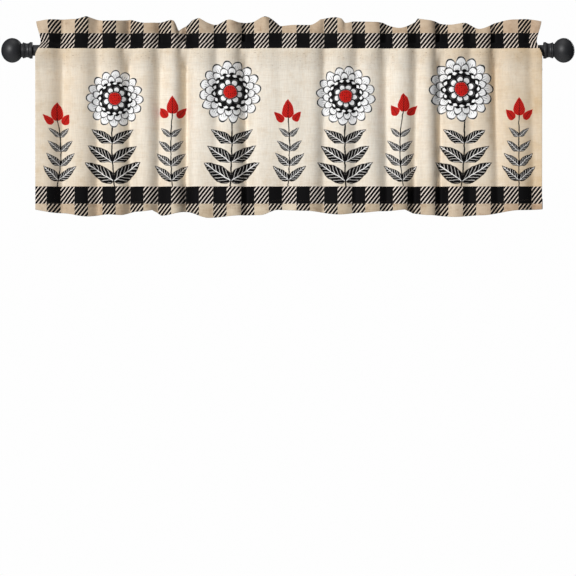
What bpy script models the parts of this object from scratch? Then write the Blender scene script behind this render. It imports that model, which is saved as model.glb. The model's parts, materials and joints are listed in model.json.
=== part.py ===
"""A rod-pocket window valance hung on a curtain rod with ball finials.

The valance is one panel of printed cloth. Its top is turned to the back and sewn twice: the upper seam sets
off a standing header, and the lower seam closes the pocket that the rod goes through. The panel is gathered a
little, so below the pocket it hangs in soft upright folds down to an uneven hem.

Frame: the origin is on the rod's axis at mid-length. +X runs along the rod to the right as seen from the
room, -Y points into the room, and +Z is up. All sizes are in metres.
"""

import math
from collections import namedtuple

import bmesh
import bpy

# ---- Driving sizes ------------------------------------------------------------------------------------

ROD_RADIUS = 0.0127  # a one-inch rod
ROD_WALL = 0.001
ROD_SIDES = 32

CLOTH_LEFT = -0.592  # the side edges: the gathered width is 1.1875 m
CLOTH_RIGHT = 0.5955
CLOTH_THICK = 0.0022
HEADER_THICK = 0.0032  # two layers sewn flat together
HEADER_SEAM = 0.0195  # height of the seam just above the rod
POCKET_SEAM = -0.043  # height of the seam that closes the pocket
POCKET_LOWEST = -0.038  # bottom of the tunnel inside the pocket
TUNNEL_RADIUS = 0.0154  # clears the rod by 2 mm at the middle of every facet
TUNNEL_FLOOR = 0.0008  # half the width of the tunnel's bottom
TANGENT = 105.0  # degrees from the top at which the pocket leaves its round and hangs straight

FRONT_PUFF = 0.007  # how far the pocket's ridges stand proud of the rod in front
BACK_PUFF = 0.004  # and behind
FOLD_FORWARD = 0.005  # the ridges hang this far in front of the rod's axis
SEAM_SHARE = 0.75  # the folds' depth at the pocket seam, as a share of depth_top
HEADER_WAVE = 0.8  # the header's waves, as a share of the folds' depth
HEADER_FULL = 0.0615  # the header's height where it stands upright, above its seam
HEADER_LEAN = 0.42  # share of the free length by which a low stretch of the header leans back

EDGE_INSET = 0.008  # the side edges draw in at the header seam
INSET_REACH = 0.060  # along the rod
INSET_HEIGHT = 0.024  # up and down from the seam

FINIAL_START = 0.5975  # where the finial's collar begins
FINIAL_SOCKET = 0.014  # how deep the rod sits in the collar
SOCKET_CLEARANCE = 0.0004
COLLAR_LENGTH = 0.0265
FLANGE_RADIUS = 0.0200
WAIST_RADIUS = 0.0160
BEAD_RADIUS = 0.0188
NECK_RADIUS = 0.0165
BALL_HALF_LENGTH = 0.0259
BALL_RADIUS = 0.0291
TURNED_SIDES = 32
BALL_STEPS = 9

# One row for each hollow between two ridges, left to right. at: its place along the rod. depth_top and
# depth_hem: how far it lies behind the ridges under the pocket and at the hem. left and right: how tight its
# flanks are, 1 for a soft wave and 2 or more for a narrow crease. lean: its shift sideways at the hem.
Fold = namedtuple("Fold", "at depth_top depth_hem left right lean")
FOLDS = [
    Fold(-0.541, 0.012, 0.014, 1.5, 1.6, -0.004),
    Fold(-0.459, 0.010, 0.013, 1.4, 1.6, 0.000),
    Fold(-0.389, 0.013, 0.013, 1.3, 1.7, 0.004),
    Fold(-0.313, 0.012, 0.012, 1.3, 1.7, 0.003),
    Fold(-0.253, 0.018, 0.019, 1.4, 2.2, 0.002),
    Fold(-0.180, 0.008, 0.008, 1.3, 1.5, -0.003),
    Fold(-0.118, 0.015, 0.014, 1.2, 1.9, 0.006),
    Fold(-0.038, 0.005, 0.008, 1.2, 1.8, 0.012),
    Fold(0.074, 0.010, 0.014, 2.0, 1.6, -0.004),
    Fold(0.149, 0.010, 0.013, 1.4, 1.5, -0.002),
    Fold(0.217, 0.013, 0.013, 1.3, 1.6, 0.000),
    Fold(0.287, 0.011, 0.016, 1.3, 1.4, -0.005),
    Fold(0.343, 0.017, 0.014, 1.3, 1.9, 0.003),
    Fold(0.416, 0.008, 0.009, 1.2, 1.4, -0.006),
    Fold(0.474, 0.015, 0.012, 1.3, 1.7, 0.005),
    Fold(0.554, 0.009, 0.010, 1.4, 1.4, 0.008),
]

# The header's upper edge and the hem, one row for each high or low place, left to right.
Edge = namedtuple("Edge", "at height")
HEADER_EDGE = [
    Edge(-0.592, 0.0690),
    Edge(-0.534, 0.0755),
    Edge(-0.506, 0.0735),
    Edge(-0.469, 0.0810),
    Edge(-0.417, 0.0705),
    Edge(-0.368, 0.0735),
    Edge(-0.326, 0.0650),
    Edge(-0.276, 0.0740),
    Edge(-0.257, 0.0460),
    Edge(-0.212, 0.0765),
    Edge(-0.173, 0.0615),
    Edge(-0.139, 0.0715),
    Edge(-0.090, 0.0665),
    Edge(-0.055, 0.0790),
    Edge(-0.012, 0.0530),
    Edge(0.039, 0.0595),
    Edge(0.109, 0.0785),
    Edge(0.142, 0.0645),
    Edge(0.172, 0.0690),
    Edge(0.205, 0.0665),
    Edge(0.224, 0.0690),
    Edge(0.261, 0.0550),
    Edge(0.304, 0.0755),
    Edge(0.381, 0.0615),
    Edge(0.404, 0.0665),
    Edge(0.444, 0.0540),
    Edge(0.486, 0.0690),
    Edge(0.535, 0.0735),
    Edge(0.595, 0.0690),
]
HEM_EDGE = [
    Edge(-0.592, -0.3730),
    Edge(-0.469, -0.3890),
    Edge(-0.382, -0.3850),
    Edge(-0.321, -0.3745),
    Edge(-0.298, -0.3870),
    Edge(-0.262, -0.3810),
    Edge(-0.183, -0.3920),
    Edge(-0.065, -0.3860),
    Edge(-0.030, -0.3745),
    Edge(0.045, -0.3755),
    Edge(0.090, -0.3835),
    Edge(0.198, -0.3800),
    Edge(0.270, -0.3710),
    Edge(0.300, -0.3825),
    Edge(0.372, -0.3885),
    Edge(0.448, -0.3860),
    Edge(0.535, -0.3730),
    Edge(0.595, -0.3720),
]

# Where the mesh's columns lie in each fold, from its left ridge (-1) through the hollow (0).
COLUMN_SHARES = (-1.0, -0.50, -0.17, 0.17, 0.50)
SKIRT_SHARES = (0.0, 0.25, 0.5, 0.75, 1.0)  # hem to pocket seam
ROUND_ANGLES = (TANGENT, 75.0, 45.0, 22.0)  # degrees from the top, going up the pocket
TUNNEL_ANGLES = (0.0, 35.0, 70.0, TANGENT)


# ---- The cloth's shape --------------------------------------------------------------------------------


def height_at(edge, x):
    """The height of an edge at x: eased between the rows, so that each row is a top or a bottom."""
    for a, b in zip(edge, edge[1:], strict=False):
        if x <= b.at:
            break
    share = min(max((x - a.at) / (b.at - a.at), 0.0), 1.0)
    return a.height + (b.height - a.height) * share * share * (3 - 2 * share)


def columns():
    """(number of the fold, place in it from -1 to 1) of each column of the mesh, left to right."""
    found = [(i, share) for i in range(len(FOLDS)) for share in COLUMN_SHARES]
    return [*found, (len(FOLDS) - 1, 1.0)]


def fold_bounds(number, down):
    """(left ridge, hollow, right ridge) of a fold. down is 0 at the pocket seam and 1 at the hem."""
    centres = [fold.at + fold.lean * down for fold in FOLDS]
    left, right = CLOTH_LEFT, CLOTH_RIGHT
    if number > 0:
        left = (centres[number - 1] + centres[number]) / 2
    if number < len(FOLDS) - 1:
        right = (centres[number] + centres[number + 1]) / 2
    return left, centres[number], right


def place_along(column, down):
    number, share = column
    left, centre, right = fold_bounds(number, down)
    return centre + share * (centre - left if share < 0 else right - centre)


def hollow(column):
    """How far into the hollow a column lies: 0 on a ridge and 1 at the deepest line."""
    number, share = column
    fold = FOLDS[number]
    tight = fold.left if share < 0 else fold.right
    return math.cos(math.pi / 2 * share) ** (2 * tight)


def fold_depth(column, down):
    """How far back the cloth lies at this column. down is 0 at the pocket seam and 1 at the hem."""
    fold = FOLDS[column[0]]
    deep = fold.depth_top * SEAM_SHARE
    deep += (fold.depth_hem - deep) * math.sin(math.pi / 2 * min(2 * down, 1.0))
    return deep * hollow(column) - FOLD_FORWARD


def drawn_in(x, z):
    """x again, with the side edges drawn in around the header seam."""
    near_edge = max(0.0, 1 - min(x - CLOTH_LEFT, CLOTH_RIGHT - x) / INSET_REACH)
    near_seam = max(0.0, 1 - abs(z - HEADER_SEAM) / INSET_HEIGHT)
    return x - math.copysign(EDGE_INSET * near_edge * near_seam, x)


def skirt_point(column, up, side):
    """A point on the hanging cloth. up is 0 at the hem and 1 at the pocket seam; side is -1 in front."""
    x = place_along(column, 1 - up)
    hem = height_at(HEM_EDGE, x)
    z = hem + (POCKET_SEAM - hem) * up
    return x, fold_depth(column, 1 - up) + side * CLOTH_THICK / 2, z


def pocket_radius(column, angle, side):
    puff = FRONT_PUFF * (1 - hollow(column)) if side < 0 else BACK_PUFF * hollow(column)
    return TUNNEL_RADIUS + CLOTH_THICK + puff * math.sin(math.radians(min(angle, 90.0))) ** 2


def pocket_point(column, angle, side):
    """A point on the outside of the pocket, angle degrees round from its top."""
    radius = pocket_radius(column, angle, side)
    turn = math.radians(angle)
    x, z = place_along(column, 0.0), radius * math.cos(turn)
    return drawn_in(x, z), side * radius * math.sin(turn), z


def below_round(column, side):
    """A point halfway down the straight part of the pocket's wall."""
    x, y, z = pocket_point(column, TANGENT, side)
    _, seam_y, seam_z = skirt_point(column, 1.0, side)
    return x, (y + seam_y) / 2, (z + seam_z) / 2


def header_point(column, up, side):
    """A point on the header. up is 0 at its seam and 1 at its upper edge."""
    x = place_along(column, 0.0)
    rise = height_at(HEADER_EDGE, x) - HEADER_SEAM
    free = math.sqrt(max(HEADER_FULL**2 - rise**2, 0.0))
    wave = (fold_depth(column, 0.0) + FOLD_FORWARD / 2) * HEADER_WAVE
    y = wave * up + HEADER_LEAN * free * up * up
    z = HEADER_SEAM + rise * up
    return drawn_in(x, z), y + side * HEADER_THICK / 2, z


def outer_section(column):
    """The closed outline of the cloth at one column: up the front, over the header and down the back."""
    front = [skirt_point(column, up, -1) for up in SKIRT_SHARES]
    front.append(below_round(column, -1))
    front += [pocket_point(column, angle, -1) for angle in ROUND_ANGLES]
    front += [header_point(column, up, -1) for up in (0.0, 0.5, 1.0)]
    back = [skirt_point(column, up, 1) for up in SKIRT_SHARES]
    back.append(below_round(column, 1))
    back += [pocket_point(column, angle, 1) for angle in ROUND_ANGLES]
    back += [header_point(column, up, 1) for up in (0.0, 0.5, 1.0)]
    return front + back[::-1]


def tunnel_section(column):
    """The closed outline of the tunnel that the rod goes through, the same way round as outer_section."""
    x = place_along(column, 0.0)
    seam = fold_depth(column, 0.0)
    front, back = [], []
    for angle in TUNNEL_ANGLES[:0:-1]:
        turn = math.radians(angle)
        y, z = TUNNEL_RADIUS * math.sin(turn), TUNNEL_RADIUS * math.cos(turn)
        front.append((drawn_in(x, z), -y, z))
        back.append((drawn_in(x, z), y, z))
    top = (drawn_in(x, TUNNEL_RADIUS), 0.0, TUNNEL_RADIUS)
    low_front = (x, seam - TUNNEL_FLOOR, POCKET_LOWEST)
    low_back = (x, seam + TUNNEL_FLOOR, POCKET_LOWEST)
    return [low_front, *front, top, *back[::-1], low_back]


# ---- Building -----------------------------------------------------------------------------------------


def material(name, colour, roughness, metallic):
    made = bpy.data.materials.new(name)
    made.use_nodes = True
    shader = made.node_tree.nodes["Principled BSDF"]
    shader.inputs["Base Color"].default_value = (*colour, 1.0)
    shader.inputs["Roughness"].default_value = roughness
    shader.inputs["Metallic"].default_value = metallic
    made.diffuse_color = (*colour, 1.0)
    return made


def add_object(name, bm, finish, smooth_angle):
    bmesh.ops.recalc_face_normals(bm, faces=bm.faces)
    mesh = bpy.data.meshes.new(name)
    bm.to_mesh(mesh)
    bm.free()
    mesh.shade_smooth()
    mesh.set_sharp_from_angle(angle=math.radians(smooth_angle))
    mesh.materials.append(finish)
    obj = bpy.data.objects.new(name, mesh)
    bpy.context.scene.collection.objects.link(obj)
    return obj


def add_tube_of_sections(bm, sections):
    """Joins closed outlines, side by side, into the wall of a tube. Returns its first and last loop of edges."""
    rings = [[bm.verts.new(point) for point in section] for section in sections]
    count = len(rings[0])
    for a, b in zip(rings, rings[1:], strict=False):
        for k in range(count):
            m = (k + 1) % count
            bm.faces.new((a[k], a[m], b[m], b[k]))
    ends = []
    for ring in (rings[0], rings[-1]):
        ends.append([bm.edges.get((ring[k], ring[(k + 1) % count])) for k in range(count)])
    return ends


def build_cloth(finish):
    bm = bmesh.new()
    outer_ends = add_tube_of_sections(bm, [outer_section(c) for c in columns()])
    tunnel_ends = add_tube_of_sections(bm, [tunnel_section(c) for c in columns()])
    for outer, tunnel, facing in zip(outer_ends, tunnel_ends, (-1, 1), strict=True):
        bmesh.ops.triangle_fill(bm, edges=outer + tunnel, use_beauty=True, normal=(facing, 0, 0))
    return add_object("valance_cloth", bm, finish, 40)


def turned(profile, sides):
    """A closed outline of (distance along X, radius) points, turned about the rod's axis."""
    bm = bmesh.new()
    count = len(profile)
    rings = []
    for k in range(sides):
        turn = 2 * math.pi * k / sides
        ring = []
        for x, radius in profile:
            point = (x, radius * math.sin(turn), radius * math.cos(turn))
            ring.append(bm.verts.new(point) if radius > 0 or k == 0 else rings[0][len(ring)])
        rings.append(ring)
    for a, b in zip(rings, rings[1:] + rings[:1], strict=True):
        for k in range(count):
            m = (k + 1) % count
            corners = list(dict.fromkeys((a[k], a[m], b[m], b[k])))
            if len(corners) > 2:
                bm.faces.new(corners)
    return bm


def build_rod(finish):
    half = FINIAL_START + FINIAL_SOCKET - SOCKET_CLEARANCE
    bore = ROD_RADIUS - ROD_WALL
    bm = turned([(-half, bore), (-half, ROD_RADIUS), (half, ROD_RADIUS), (half, bore)], ROD_SIDES)
    return add_object("rod", bm, finish, 40)


def finial_profile():
    """The finial's outline, from the bottom of its socket round the collar and the ball to its tip."""
    start, socket = FINIAL_START, ROD_RADIUS + SOCKET_CLEARANCE
    junction = start + COLLAR_LENGTH
    bottom = start + FINIAL_SOCKET
    outline = [(bottom, 0.0), (bottom, socket), (start, socket)]
    outline += [(start, FLANGE_RADIUS - 0.0012), (start + 0.0015, FLANGE_RADIUS)]
    outline += [(start + 0.0060, FLANGE_RADIUS), (start + 0.0078, FLANGE_RADIUS - 0.0014)]
    outline += [(start + 0.0105, WAIST_RADIUS + 0.0006), (start + 0.0135, WAIST_RADIUS)]
    outline += [(start + 0.0170, WAIST_RADIUS + 0.0008), (start + 0.0195, BEAD_RADIUS - 0.0006)]
    outline += [(start + 0.0210, BEAD_RADIUS), (start + 0.0235, BEAD_RADIUS - 0.0003)]
    outline += [(start + 0.0245, NECK_RADIUS), (junction, NECK_RADIUS)]
    from_centre = BALL_HALF_LENGTH * math.sqrt(1 - (NECK_RADIUS / BALL_RADIUS) ** 2)
    centre = junction + from_centre
    first = math.asin(NECK_RADIUS / BALL_RADIUS)
    for k in range(1, BALL_STEPS + 1):
        turn = first + (math.pi - first) * k / BALL_STEPS
        radius = BALL_RADIUS * math.sin(turn) if k < BALL_STEPS else 0.0
        outline.append((centre - BALL_HALF_LENGTH * math.cos(turn), radius))
    return outline


def build_finial(name, side, finish):
    outline = [(side * x, radius) for x, radius in finial_profile()]
    return add_object(name, turned(outline, TURNED_SIDES), finish, 35)


def main():
    for obj in list(bpy.data.objects):
        bpy.data.objects.remove(obj, do_unlink=True)
    cloth = material("printed_cloth", (0.82, 0.74, 0.62), 0.9, 0.0)
    black_tube = material("black_rod_paint", (0.025, 0.025, 0.027), 0.35, 0.6)
    black_cast = material("black_finial_paint", (0.030, 0.030, 0.032), 0.42, 0.6)
    build_cloth(cloth)
    build_rod(black_tube)
    build_finial("finial_left", -1, black_cast)
    build_finial("finial_right", 1, black_cast)


main()
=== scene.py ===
# %% [markdown]
# # A rod-pocket window valance
#
# A valance is a short curtain that hides the top of a window. This one is a single printed panel. Its top is
# turned to the back and sewn twice, which makes a standing header and, below it, a pocket for the rod. The
# panel is a little wider than its place on the rod, so it gathers into soft upright folds.
#
# The lesson goes through the object as it is made: the cloth's folds, its sewn path, the thread, the rod and
# its finials, then the print and the paint, and last the light and the camera.

# %% Load the frame
import json
import math
from collections import namedtuple

import bmesh
import bpy
import numpy as np
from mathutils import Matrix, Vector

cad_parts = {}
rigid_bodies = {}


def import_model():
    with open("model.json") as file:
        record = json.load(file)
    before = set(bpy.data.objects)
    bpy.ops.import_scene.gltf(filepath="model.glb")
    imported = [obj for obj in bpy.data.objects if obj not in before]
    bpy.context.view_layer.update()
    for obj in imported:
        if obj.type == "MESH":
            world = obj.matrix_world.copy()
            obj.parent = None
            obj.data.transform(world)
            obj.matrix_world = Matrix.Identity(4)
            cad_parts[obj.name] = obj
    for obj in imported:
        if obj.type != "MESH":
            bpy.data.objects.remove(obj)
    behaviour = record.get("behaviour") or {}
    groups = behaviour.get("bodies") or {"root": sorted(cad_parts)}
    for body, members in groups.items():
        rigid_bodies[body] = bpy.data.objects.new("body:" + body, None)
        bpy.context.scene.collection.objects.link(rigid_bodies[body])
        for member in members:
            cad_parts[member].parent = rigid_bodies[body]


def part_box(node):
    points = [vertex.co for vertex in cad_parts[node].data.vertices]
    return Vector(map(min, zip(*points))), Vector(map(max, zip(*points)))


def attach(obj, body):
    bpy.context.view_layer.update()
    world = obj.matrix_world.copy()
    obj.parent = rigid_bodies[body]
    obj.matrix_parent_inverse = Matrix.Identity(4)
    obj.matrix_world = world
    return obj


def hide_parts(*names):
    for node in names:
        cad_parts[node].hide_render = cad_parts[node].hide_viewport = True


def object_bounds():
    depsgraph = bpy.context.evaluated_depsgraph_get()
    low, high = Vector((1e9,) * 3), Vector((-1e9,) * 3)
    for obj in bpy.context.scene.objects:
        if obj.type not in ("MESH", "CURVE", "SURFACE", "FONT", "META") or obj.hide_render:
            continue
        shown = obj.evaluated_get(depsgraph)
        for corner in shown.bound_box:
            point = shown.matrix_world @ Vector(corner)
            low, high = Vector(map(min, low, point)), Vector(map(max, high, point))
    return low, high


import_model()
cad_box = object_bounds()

MM = 0.001  # everything below is in metres, and this turns millimetres into them
rng = np.random.default_rng(11)
print("the frame's box:", [[round(v, 4) for v in corner] for corner in cad_box])

# %% [markdown]
# ## Sizes that the frame gives
#
# The rod and the cloth's outline are already settled by the construction model. Reading them back, rather
# than typing them again, keeps the fine surfaces where the plain solids are.

# %% Read the sizes
rod_low, rod_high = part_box("rod")
cloth_low, cloth_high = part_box("valance_cloth")
ROD_RADIUS = (rod_high.z - rod_low.z) / 2
LEFT = cloth_low.x + 2.4 * MM
RIGHT = cloth_high.x - 2.6 * MM
print(f"rod radius {ROD_RADIUS * 1000:.2f} mm, cloth from {LEFT:.4f} to {RIGHT:.4f} m")

# %% [markdown]
# ## The folds
#
# Gathered cloth doesn't wave evenly. It keeps broad, nearly flat ridges with a narrow hollow here and there,
# and each hollow has a steep side and a slack side. A cloth simulation would find folds of its own choice, so
# the folds are listed instead: one row for each hollow, and a smooth formula does the rest.
#
# `top` and `hem` are the hollow's depth under the pocket and at the hem, `left` and `right` the widths of its
# two sides, and `lean` its shift sideways from the pocket to the hem.

# %% The table of folds
Fold = namedtuple("Fold", "at top hem left right lean")
FOLDS = [
    Fold(-0.527, 0.023, 0.022, 0.019, 0.015, 0.000),
    Fold(-0.445, 0.018, 0.025, 0.019, 0.015, 0.000),
    Fold(-0.372, 0.035, 0.023, 0.016, 0.015, 0.004),
    Fold(-0.298, 0.025, 0.023, 0.017, 0.015, -0.005),
    Fold(-0.238, 0.039, 0.034, 0.014, 0.011, 0.001),
    Fold(-0.165, 0.015, 0.004, 0.016, 0.015, -0.003),
    Fold(-0.099, 0.037, 0.023, 0.015, 0.014, 0.004),
    Fold(-0.021, 0.003, 0.008, 0.020, 0.016, 0.014),
    Fold(0.086, 0.017, 0.012, 0.014, 0.020, -0.004),
    Fold(0.162, 0.015, 0.014, 0.017, 0.016, -0.004),
    Fold(0.231, 0.026, 0.017, 0.017, 0.016, 0.000),
    Fold(0.301, 0.021, 0.032, 0.015, 0.015, -0.005),
    Fold(0.357, 0.038, 0.029, 0.013, 0.013, 0.001),
    Fold(0.427, 0.011, 0.010, 0.015, 0.014, -0.004),
    Fold(0.486, 0.028, 0.011, 0.013, 0.014, 0.005),
    Fold(0.568, 0.006, 0.014, 0.016, 0.014, 0.008),
]
SWELL = 0.034  # how far the slack round each hollow reaches
CREASE_SHARE = 0.85  # the rest of a hollow's depth is that slack
CREASE_POWER = 1.6  # lower is more pinched at the bottom

# %% The depth of the cloth at any place
def eased(share):
    """0 to 1, leaving and arriving gently."""
    share = np.clip(share, 0.0, 1.0)
    return share * share * (3 - 2 * share)


def fold_depth(x, down):
    """How far back the cloth lies. down is 0 at the pocket's lower seam and 1 at the hem."""
    depth = 0.0
    for fold in FOLDS:
        offset = x - fold.at - fold.lean * down
        crease = np.exp(-np.abs(offset / np.where(offset < 0, fold.left, fold.right)) ** CREASE_POWER)
        slack = np.exp(-((offset / SWELL) ** 2))
        deep = fold.top + (fold.hem - fold.top) * eased(down)
        depth = depth + deep * (CREASE_SHARE * crease + (1 - CREASE_SHARE) * slack)
    return depth


sample = np.linspace(LEFT, RIGHT, 4000)
for name, down in (("pocket", 0.0), ("hem", 1.0)):
    steps = np.hypot(np.diff(sample), np.diff(fold_depth(sample, down)))
    print(f"cloth taken up along the {name}: {steps.sum():.3f} m over {RIGHT - LEFT:.3f} m")

# %% [markdown]
# ## The two free edges
#
# The header's top and the hem are what gives the outline away, so both follow a table of their high and low
# places. Each row is a crest, a dip or a bend. The curve between two rows leaves and arrives level, except at
# a row marked as a corner, where a fold's lip turns the edge sharply.

# %% The tables of the edges
Edge = namedtuple("Edge", "at height corner", defaults=(0,))
HEADER_EDGE = [
    Edge(-0.5920, 0.0680, 1),
    Edge(-0.5500, 0.0735),
    Edge(-0.4990, 0.0740),
    Edge(-0.4890, 0.0755, 1),
    Edge(-0.4720, 0.0805, 1),
    Edge(-0.4300, 0.0706),
    Edge(-0.3990, 0.0708),
    Edge(-0.3690, 0.0740, 1),
    Edge(-0.3350, 0.0653),
    Edge(-0.3100, 0.0662),
    Edge(-0.2740, 0.0728, 1),
    Edge(-0.2655, 0.0690, 1),
    Edge(-0.2570, 0.0455, 1),
    Edge(-0.2250, 0.0710, 1),
    Edge(-0.2090, 0.0770, 1),
    Edge(-0.1700, 0.0610),
    Edge(-0.1380, 0.0728),
    Edge(-0.1120, 0.0668),
    Edge(-0.0860, 0.0668),
    Edge(-0.0540, 0.0795),
    Edge(-0.0180, 0.0570, 1),
    Edge(0.0180, 0.0602),
    Edge(0.0510, 0.0600),
    Edge(0.0760, 0.0735, 1),
    Edge(0.1090, 0.0782),
    Edge(0.1270, 0.0745, 1),
    Edge(0.1340, 0.0650),
    Edge(0.1570, 0.0688),
    Edge(0.2050, 0.0675),
    Edge(0.2230, 0.0660, 1),
    Edge(0.2620, 0.0535),
    Edge(0.2990, 0.0680, 1),
    Edge(0.3040, 0.0762, 1),
    Edge(0.3460, 0.0690, 1),
    Edge(0.3800, 0.0610),
    Edge(0.4140, 0.0652),
    Edge(0.4480, 0.0512),
    Edge(0.4840, 0.0650, 1),
    Edge(0.5300, 0.0728),
    Edge(0.5560, 0.0735),
    Edge(0.5950, 0.0680, 1),
]
HEM_EDGE = [
    Edge(-0.5920, -0.3725, 1),
    Edge(-0.5300, -0.3810),
    Edge(-0.4690, -0.3888),
    Edge(-0.4190, -0.3840),
    Edge(-0.3900, -0.3855),
    Edge(-0.3540, -0.3775),
    Edge(-0.3170, -0.3735, 1),
    Edge(-0.3040, -0.3815, 1),
    Edge(-0.2960, -0.3868),
    Edge(-0.2400, -0.3780),
    Edge(-0.1850, -0.3922),
    Edge(-0.1100, -0.3862),
    Edge(-0.0650, -0.3858),
    Edge(-0.0240, -0.3735),
    Edge(0.0400, -0.3755),
    Edge(0.1200, -0.3842),
    Edge(0.1700, -0.3800),
    Edge(0.2200, -0.3765),
    Edge(0.2740, -0.3722, 1),
    Edge(0.2920, -0.3810, 1),
    Edge(0.3300, -0.3855),
    Edge(0.3890, -0.3900),
    Edge(0.4510, -0.3862),
    Edge(0.5430, -0.3740),
    Edge(0.5950, -0.3722, 1),
]


def height_of(edge, x):
    """The height of an edge at the places x."""
    at, height, corner = (np.array(column) for column in zip(*edge, strict=True))
    k = np.clip(np.searchsorted(at, x) - 1, 0, len(at) - 2)
    t = np.clip((x - at[k]) / (at[k + 1] - at[k]), 0.0, 1.0)
    leaving, arriving = 1.4 * corner[k], 1.4 * corner[k + 1]
    share = t**3 * (leaving + arriving - 2) + t**2 * (3 - 2 * leaving - arriving) + t * leaving
    return height[k] + (height[k + 1] - height[k]) * share


print(f"header {height_of(HEADER_EDGE, sample).min():.4f} to {height_of(HEADER_EDGE, sample).max():.4f} m")
print(f"hem {height_of(HEM_EDGE, sample).min():.4f} to {height_of(HEM_EDGE, sample).max():.4f} m")

# %% [markdown]
# ## Small unevenness
#
# Pressed and gathered cloth is never as clean as a formula. Two small effects are laid over the folds: a slow
# ripple of less than two millimetres over the whole skirt, and a fine pucker where a seam draws the cloth up.
# Both are sums of a few waves, and the ripple's waves come from one seeded generator, so the cloth is the
# same every time.

# %% Ripple and pucker
RIPPLES = [
    (rng.uniform(45, 170) * MM, rng.uniform(300, 900) * MM * rng.choice((-1, 1)), rng.uniform(0, math.tau))
    for _ in range(16)
]
RIPPLE_SHARE = 0.0032  # a wave's height, as a share of its length
PUCKER_LENGTHS = (13 * MM, 17 * MM, 23 * MM, 31 * MM)
PUCKER_HEIGHT = 0.16 * MM
PUCKER_REACH = 16 * MM


def ripple(x, z):
    total = 0.0
    for length, drop, phase in RIPPLES:
        total = total + length * RIPPLE_SHARE * np.sin(math.tau * (x / length + z / drop) + phase)
    return total


def pucker(x, from_seam):
    total = 0.0
    for k, length in enumerate(PUCKER_LENGTHS):
        total = total + np.sin(math.tau * x / length + 2.1 * k)
    return total * PUCKER_HEIGHT * np.exp(-np.abs(from_seam) / PUCKER_REACH)


print(f"ripple up to {np.abs(ripple(sample, 0.0)).max() * 1000:.2f} mm")

# %% [markdown]
# ## How the cloth is sewn
#
# The whole valance is one piece of cloth, so it is modelled as one surface that follows the maker's path: the
# hem's raw edge turned in, the hem up the back, round the bottom fold, up the front, over the rod, up the
# header, over its top, down the back of the header, round the back of the rod and into the lower seam, where
# its other raw edge is turned in. The side edges are turned to the back as narrow hems.
#
# The surface is first found as a sheet with no thickness, in rows along that path and columns along the rod.

# %% Sizes of the sewing
THICK = 0.36 * MM
CLEAR = 0.9 * MM  # from the rod to the middle of the cloth that lies on it
HEADER_SEAM = ROD_RADIUS + 2.7 * MM
POCKET_SEAM = -45 * MM
HEM_DEEP = 25 * MM
HEM_STITCH = 23 * MM
TURNED_IN = 8 * MM  # the raw edges inside the hem and the pocket's seam
SIDE_HEM = 12.5 * MM
SIDE_GAP = 0.9 * MM  # between the cloth and its side hem
BULK_WIDE, BULK_FADE = 13 * MM, 10 * MM  # where the side hems keep the other layers apart
INNER_GAP = (0.65 * MM, 1.9 * MM)  # from the front layer to a turned-in edge, in the middle and at the sides
OUTER_GAP = (1.3 * MM, 4.8 * MM)  # and to the layer behind it
FRONT_PUFF = 19 * MM  # how far the ridges stand off the rod in front
BACK_PUFF = 4 * MM  # and the hollows behind
KNEE = 2.5 * MM  # how softly a hollow lands on the rod
SIDE_LIFT = 1.3 * MM  # the side hems hold the pocket off the rod
SEAM_PULL = 0.45  # share of the way from the tangent at which the header's seam begins to draw the pocket in
FORWARD = 20 * MM  # the skirt's ridges hang this far in front of the rod's axis
EDGE_INSET, INSET_REACH = 12 * MM, 44 * MM  # the side edges are drawn in, and how far inwards it reaches
INSET_FROM, INSET_AT, INSET_TO = -16 * MM, 18 * MM, 74 * MM  # the heights it begins, is deepest and ends at
TANGENT = math.radians(112)  # from the top of the rod, where the pocket leaves its round
POCKET_ROUND = (0.0, 0.10, 0.20, 0.30, 0.40, 0.50, 0.60, 0.69, 0.78, 0.86, 0.94)  # from there to the seam
POCKET_STRAIGHT = (0.25, 0.5, 0.75)  # share of the way from the lower seam up to the round
HEADER_FULL = 64 * MM  # the header's cut height above its seam
HEADER_LEAN = 0.34  # share of its free length by which a low stretch leans back
HEADER_FORWARD = 8 * MM  # how far its ridges stand in front of the rod's axis
HEADER_KEEPS, HEADER_GAINS = 0.80, 0.15  # share of a fold's depth at its seam, and what its top has more
HEADER_END = 0.985  # share of its height at which the layers turn over
HEADER_ROWS = 9
SKIRT_ROWS = 38
COLUMNS = 400
TINY = 0.4 * MM  # the step for measuring a slope

# %% [markdown]
# ### Layers, and room for them at the sides
#
# Where cloth lies behind cloth, each layer is set back along the front layer's own normal, so that a deep
# fold doesn't squeeze the layers together. At the sides every layer also carries its side hem, so all gaps
# open there, which is the small lump that real sewn corners have.

# %% Helpers for layers
def point(x, y, z):
    """Three arrays as one array of points."""
    x, y, z = np.broadcast_arrays(x, y, z)
    return np.stack([x, y, z], axis=-1)


def bulk(x):
    """1 at the side edges, where hems lie on hems, and 0 inside."""
    from_edge = np.minimum(x - LEFT, RIGHT - x)
    return 1 - eased((from_edge - BULK_WIDE) / BULK_FADE)


def room(x, middle, side):
    return middle + (side - middle) * bulk(x)


def drawn_in(x, z):
    """x again, with the side edges drawn in by the header's seam."""
    near_edge = np.clip(1 - np.minimum(x - LEFT, RIGHT - x) / INSET_REACH, 0.0, 1.0)
    reach = np.where(z < INSET_AT, INSET_AT - INSET_FROM, INSET_TO - INSET_AT)
    near_seam = np.clip(1 - np.abs(z - INSET_AT) / reach, 0.0, 1.0)
    return x - np.sign(x) * EDGE_INSET * near_edge * eased(near_seam)


def set_back(surface, x, gap):
    """Points on surface(x), moved to the cloth's back by gap."""
    along = surface(x + TINY) - surface(x - TINY)
    out = np.stack([-along[..., 1], along[..., 0], 0 * along[..., 0]], axis=-1)
    out /= np.linalg.norm(out, axis=-1, keepdims=True)
    return surface(x) + out * np.asarray(gap)[..., None]


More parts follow.
